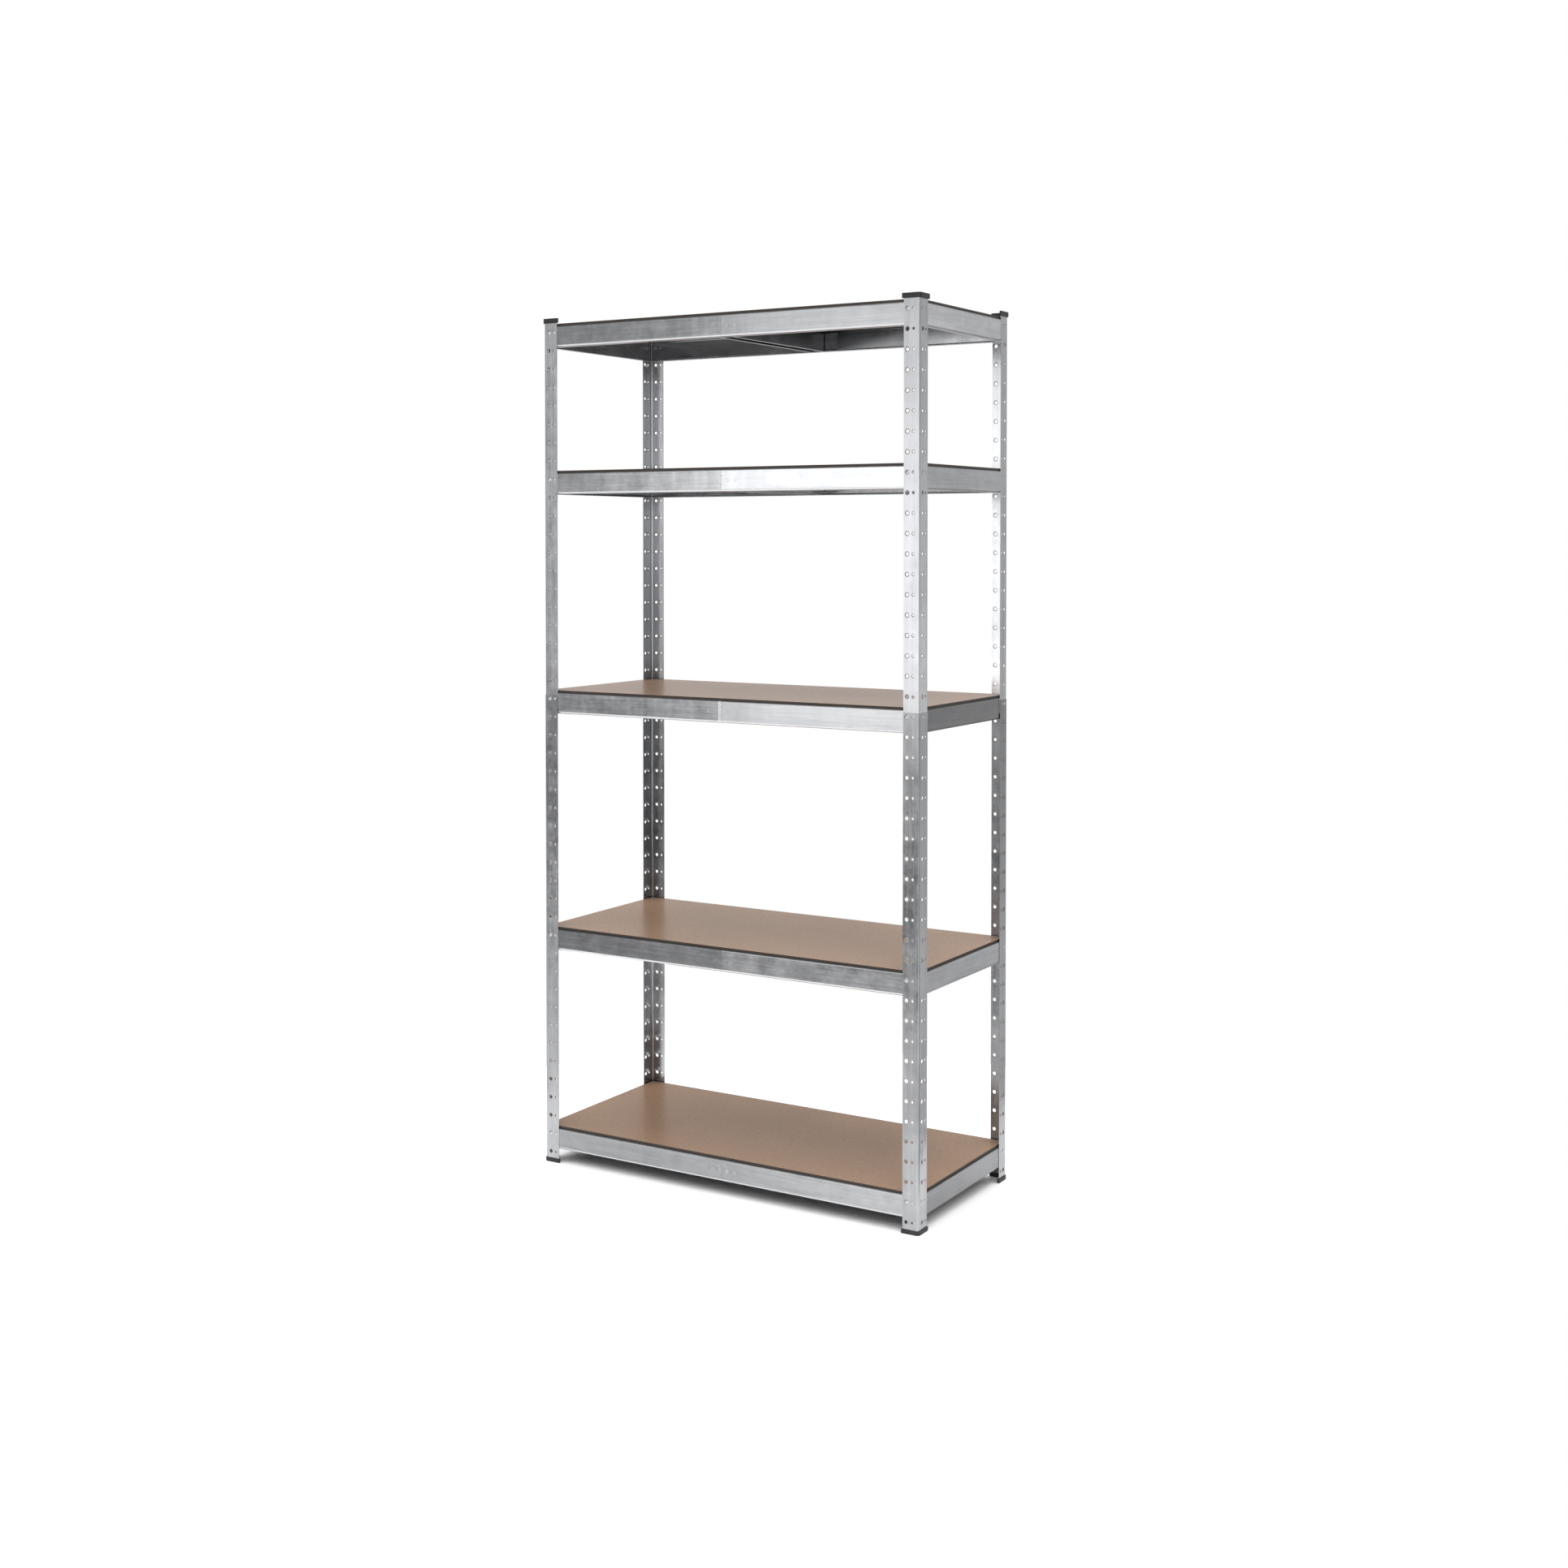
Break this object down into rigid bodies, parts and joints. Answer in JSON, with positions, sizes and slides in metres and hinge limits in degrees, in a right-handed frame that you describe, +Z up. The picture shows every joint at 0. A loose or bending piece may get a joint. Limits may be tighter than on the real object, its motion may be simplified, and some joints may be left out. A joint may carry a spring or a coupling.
{
  "type": "boltless steel shelving",
  "caption": "Free-standing boltless rack: perforated angle posts, folded steel beams with mid-span joiners and centre braces, loose lift-off boards, plastic feet and caps.",
  "frame": {"origin": "on the floor, under the middle of the rack", "axes": "+Z up along the posts, +X to the right along the long beams, +Y from the front to the back"},
  "size_m": [0.9038, 0.4038, 1.807],
  "materials": {
    "galvanised_steel": "satin galvanised",
    "zinc_plated_steel": "bright zinc plate",
    "shelf_board": "smooth brown fibreboard, satin",
    "black_plastic": "matt"
  },
  "bodies": {
    "frame": {"beam_joiners": "galvanised_steel", "beam_studs": "zinc_plated_steel", "front_left_cap": "black_plastic", "front_left_foot": "black_plastic", "front_left_lower_post": "galvanised_steel", "front_left_upper_post": "galvanised_steel", "front_right_cap": "black_plastic", "front_right_foot": "black_plastic", "front_right_lower_post": "galvanised_steel", "front_right_upper_post": "galvanised_steel", "joiner_rivets": "zinc_plated_steel", "level_1_centre_brace": "galvanised_steel", "level_1_front_beam_left": "galvanised_steel", "level_1_front_beam_right": "galvanised_steel", "level_1_left_side_beam": "galvanised_steel", "level_1_rear_beam_left": "galvanised_steel", "level_1_rear_beam_right": "galvanised_steel", "level_1_right_side_beam": "galvanised_steel", "level_2_centre_brace": "galvanised_steel", "level_2_front_beam_left": "galvanised_steel", "level_2_front_beam_right": "galvanised_steel", "level_2_left_side_beam": "galvanised_steel", "level_2_rear_beam_left": "galvanised_steel", "level_2_rear_beam_right": "galvanised_steel", "level_2_right_side_beam": "galvanised_steel", "level_3_centre_brace": "galvanised_steel", "level_3_front_beam_left": "galvanised_steel", "level_3_front_beam_right": "galvanised_steel", "level_3_left_side_beam": "galvanised_steel", "level_3_rear_beam_left": "galvanised_steel", "level_3_rear_beam_right": "galvanised_steel", "level_3_right_side_beam": "galvanised_steel", "level_4_centre_brace": "galvanised_steel", "level_4_front_beam_left": "galvanised_steel", "level_4_front_beam_right": "galvanised_steel", "level_4_left_side_beam": "galvanised_steel", "level_4_rear_beam_left": "galvanised_steel", "level_4_rear_beam_right": "galvanised_steel", "level_4_right_side_beam": "galvanised_steel", "level_5_centre_brace": "galvanised_steel", "level_5_front_beam_left": "galvanised_steel", "level_5_front_beam_right": "galvanised_steel", "level_5_left_side_beam": "galvanised_steel", "level_5_rear_beam_left": "galvanised_steel", "level_5_rear_beam_right": "galvanised_steel", "level_5_right_side_beam": "galvanised_steel", "rear_left_cap": "black_plastic", "rear_left_foot": "black_plastic", "rear_left_lower_post": "galvanised_steel", "rear_left_upper_post": "galvanised_steel", "rear_right_cap": "black_plastic", "rear_right_foot": "black_plastic", "rear_right_lower_post": "galvanised_steel", "rear_right_upper_post": "galvanised_steel"},
    "shelf_board_1": {"level_1_board": "shelf_board"},
    "shelf_board_2": {"level_2_board": "shelf_board"},
    "shelf_board_3": {"level_3_board": "shelf_board"},
    "shelf_board_4": {"level_4_board": "shelf_board"},
    "shelf_board_5": {"level_5_board": "shelf_board"}
  },
  "joints": [
    {"name": "level_1_board_lift", "type": "slide", "parent": "frame", "child": "shelf_board_1", "axis": [0, 0, 1], "range_m": [0, 0.25]},
    {"name": "level_2_board_lift", "type": "slide", "parent": "frame", "child": "shelf_board_2", "axis": [0, 0, 1], "range_m": [0, 0.25]},
    {"name": "level_3_board_lift", "type": "slide", "parent": "frame", "child": "shelf_board_3", "axis": [0, 0, 1], "range_m": [0, 0.25]},
    {"name": "level_4_board_lift", "type": "slide", "parent": "frame", "child": "shelf_board_4", "axis": [0, 0, 1], "range_m": [0, 0.25]},
    {"name": "level_5_board_lift", "type": "slide", "parent": "frame", "child": "shelf_board_5", "axis": [0, 0, 1], "range_m": [0, 0.25]}
  ]
}
